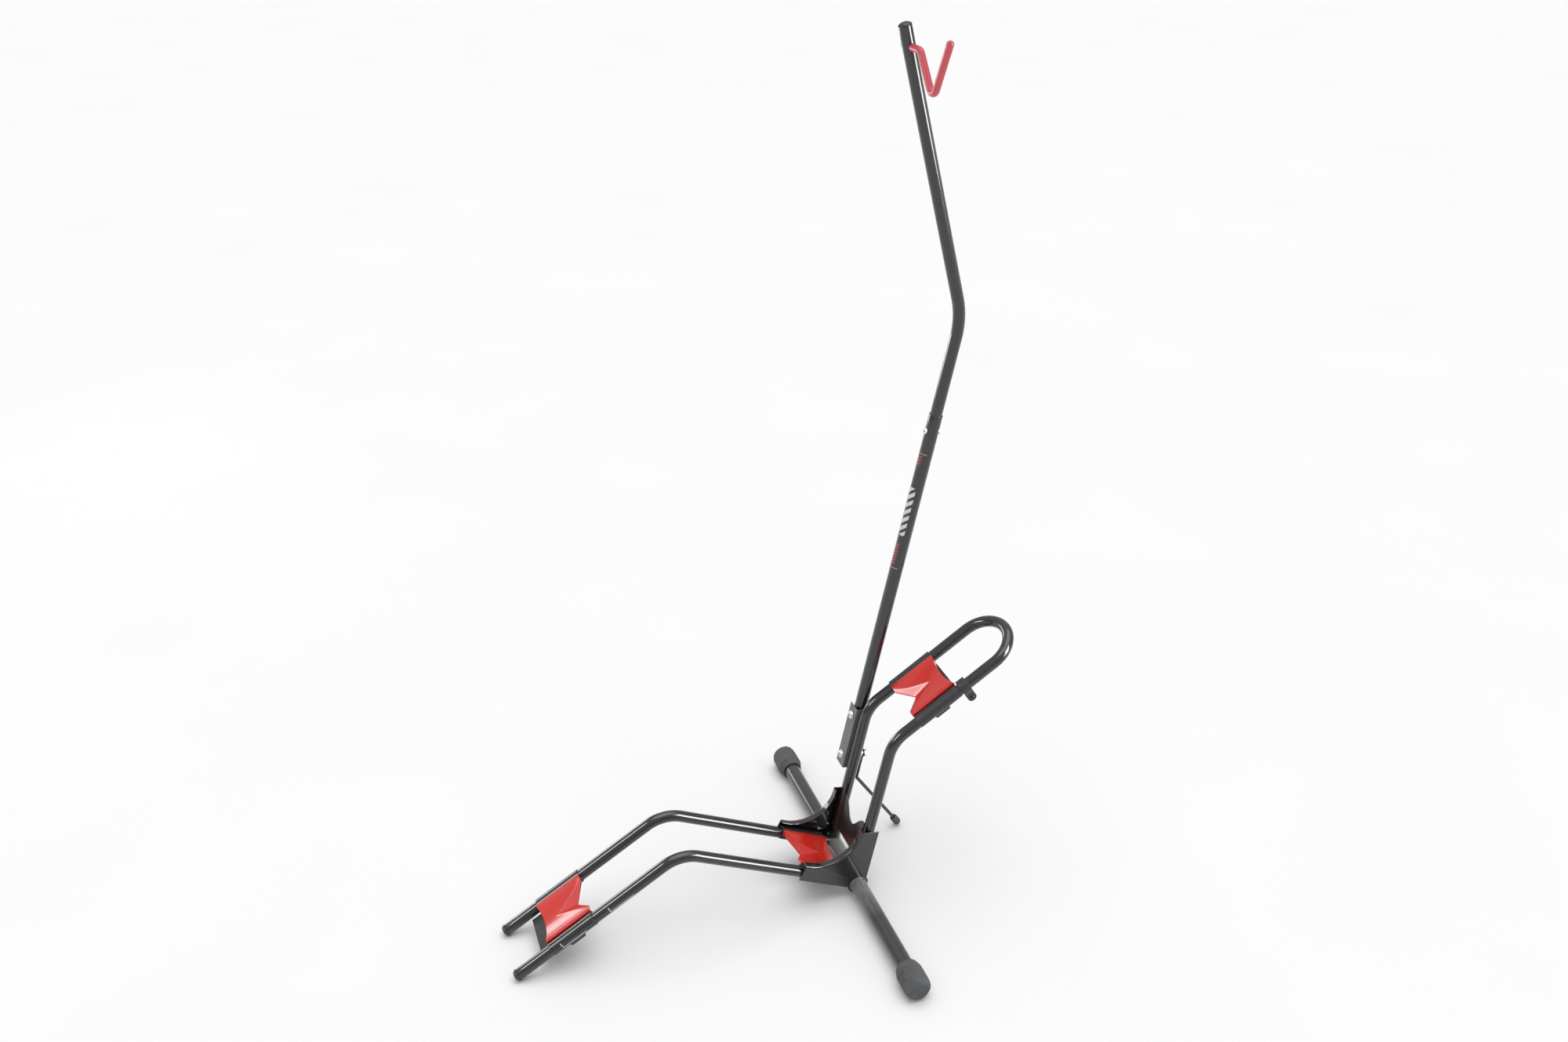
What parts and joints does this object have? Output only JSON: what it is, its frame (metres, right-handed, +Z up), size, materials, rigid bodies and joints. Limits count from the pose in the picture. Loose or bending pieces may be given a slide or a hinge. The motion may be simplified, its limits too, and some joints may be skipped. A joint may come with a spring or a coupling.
{
  "type": "bicycle repair and storage stand",
  "caption": "Bike stand: bent tube wheel cradle on a cross bar with rubber feet, red wheel pads that slide on the tubes, and a cranked pole with a wheel hook.",
  "frame": {"origin": "middle of the bounding box at floor level", "axes": "+X in the wheel's plane, from the front end of the rails towards the loop; +Y across, from the open side towards the pole; +Z up"},
  "size_m": [1.0168, 0.728, 1.6241],
  "materials": {
    "black_paint": "gloss black powder coat on steel",
    "web_paint": "satin black powder coat on steel",
    "grey_rubber": "matt, finely ribbed",
    "red_pad": "smooth, semi-gloss",
    "hook_coating": "soft satin sleeve",
    "zinc_steel": "bright zinc plate",
    "moulded_black": "satin moulding",
    "black_screw": "black oxide"
  },
  "bodies": {
    "stand": {"cross_bar": "black_paint", "rubber_foot_near": "grey_rubber", "rubber_foot_far": "grey_rubber", "rail_near": "black_paint", "rail_far": "black_paint", "rail_end_cap_near": "moulded_black", "rail_end_cap_far": "moulded_black", "wheel_loop": "black_paint", "gusset_near": "black_paint", "gusset_far": "black_paint", "web_plate": "web_paint", "rivet_near_1": "zinc_steel", "rivet_near_2": "zinc_steel", "rivet_near_3": "zinc_steel", "rivet_near_4": "zinc_steel", "rivet_far_1": "zinc_steel", "rivet_far_2": "zinc_steel", "rivet_far_3": "zinc_steel", "rivet_far_4": "zinc_steel", "pole_channel": "black_paint", "channel_bolt_upper": "zinc_steel", "channel_bolt_lower": "zinc_steel", "channel_nut_upper": "zinc_steel", "channel_nut_lower": "zinc_steel", "stay_spacer": "zinc_steel", "lower_pole": "black_paint", "mast": "black_paint", "mast_bolt": "zinc_steel", "mast_nut": "zinc_steel", "mast_plug": "moulded_black", "hook_rod": "zinc_steel", "hook_sleeve": "hook_coating", "hook_nut": "zinc_steel", "base_carrier": "moulded_black", "base_pad": "red_pad"},
    "front_rest": {"front_carrier": "moulded_black", "front_pad": "red_pad"},
    "upper_rest": {"upper_carrier": "moulded_black", "upper_pad": "red_pad", "strap_clip": "moulded_black", "clip_screw": "black_screw", "clip_nut": "zinc_steel"},
    "stay": {"stay_rod": "black_paint", "stay_boot": "grey_rubber"}
  },
  "joints": [
    {"name": "front_pad_slide", "type": "slide", "parent": "stand", "child": "front_rest", "axis": [0.8537, 0, 0.5207], "range_m": [-0.028, 0.12]},
    {"name": "upper_pad_slide", "type": "slide", "parent": "stand", "child": "upper_rest", "axis": [0.8339, 0, 0.5519], "range_m": [-0.028, 0.06]},
    {"name": "stay_swing", "type": "hinge", "parent": "stand", "child": "stay", "pos_m": [0.24749, 0.087, 0.21543], "axis": [0.9787, 0, -0.2054], "range_deg": [-90, 90]}
  ]
}
